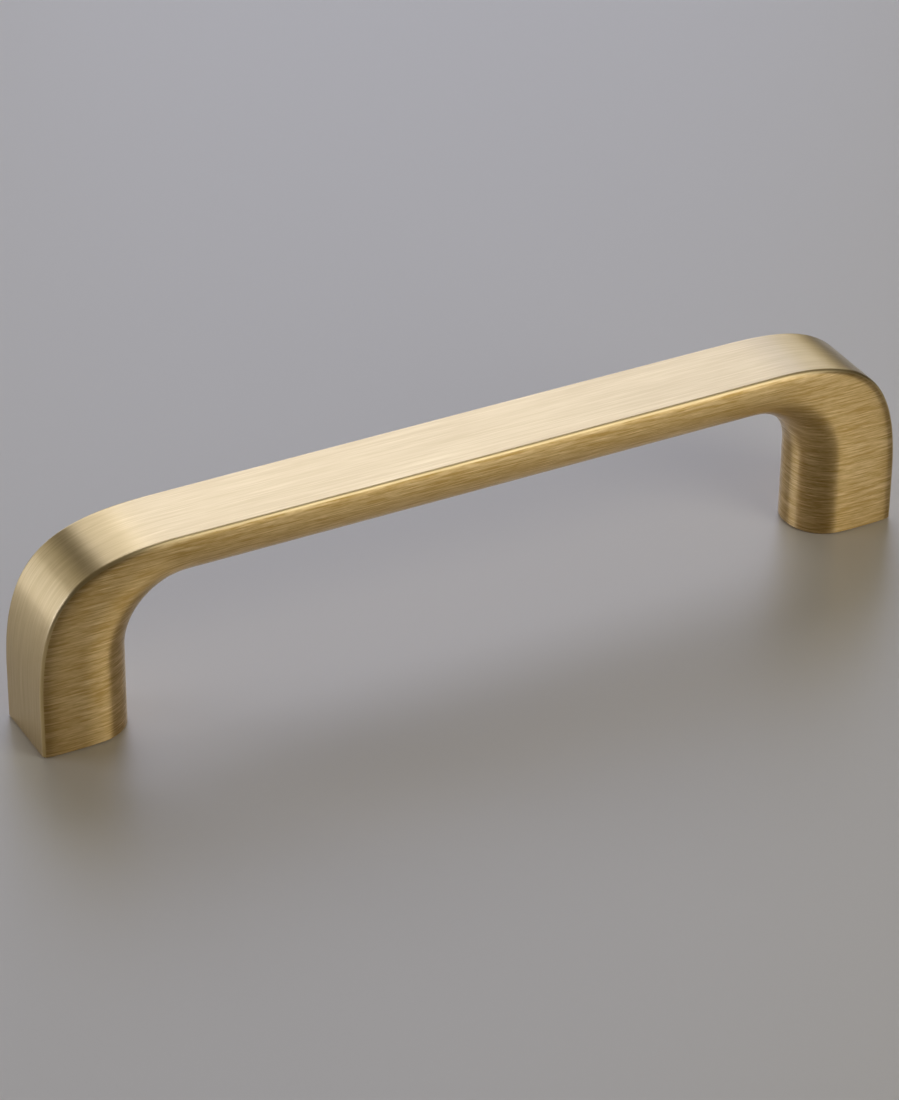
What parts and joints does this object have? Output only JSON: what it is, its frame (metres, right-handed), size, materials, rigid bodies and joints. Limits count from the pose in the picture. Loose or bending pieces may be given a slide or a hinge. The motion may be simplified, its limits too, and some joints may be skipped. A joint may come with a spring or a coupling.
{
  "type": "cabinet pull",
  "caption": "Bow-shaped cabinet pull in brushed brass: flat outer face, rounded inner side, full bends and flat feet with tapped holes.",
  "frame": {"origin": "on the plane of the two soles, midway between the feet", "axes": "+X along the pull, +Y across it, +Z away from the cabinet front"},
  "size_m": [0.1432, 0.0134, 0.0309],
  "materials": {
    "brass": "brushed satin"
  },
  "bodies": {
    "root": {"pull": "brass"}
  },
  "joints": []
}
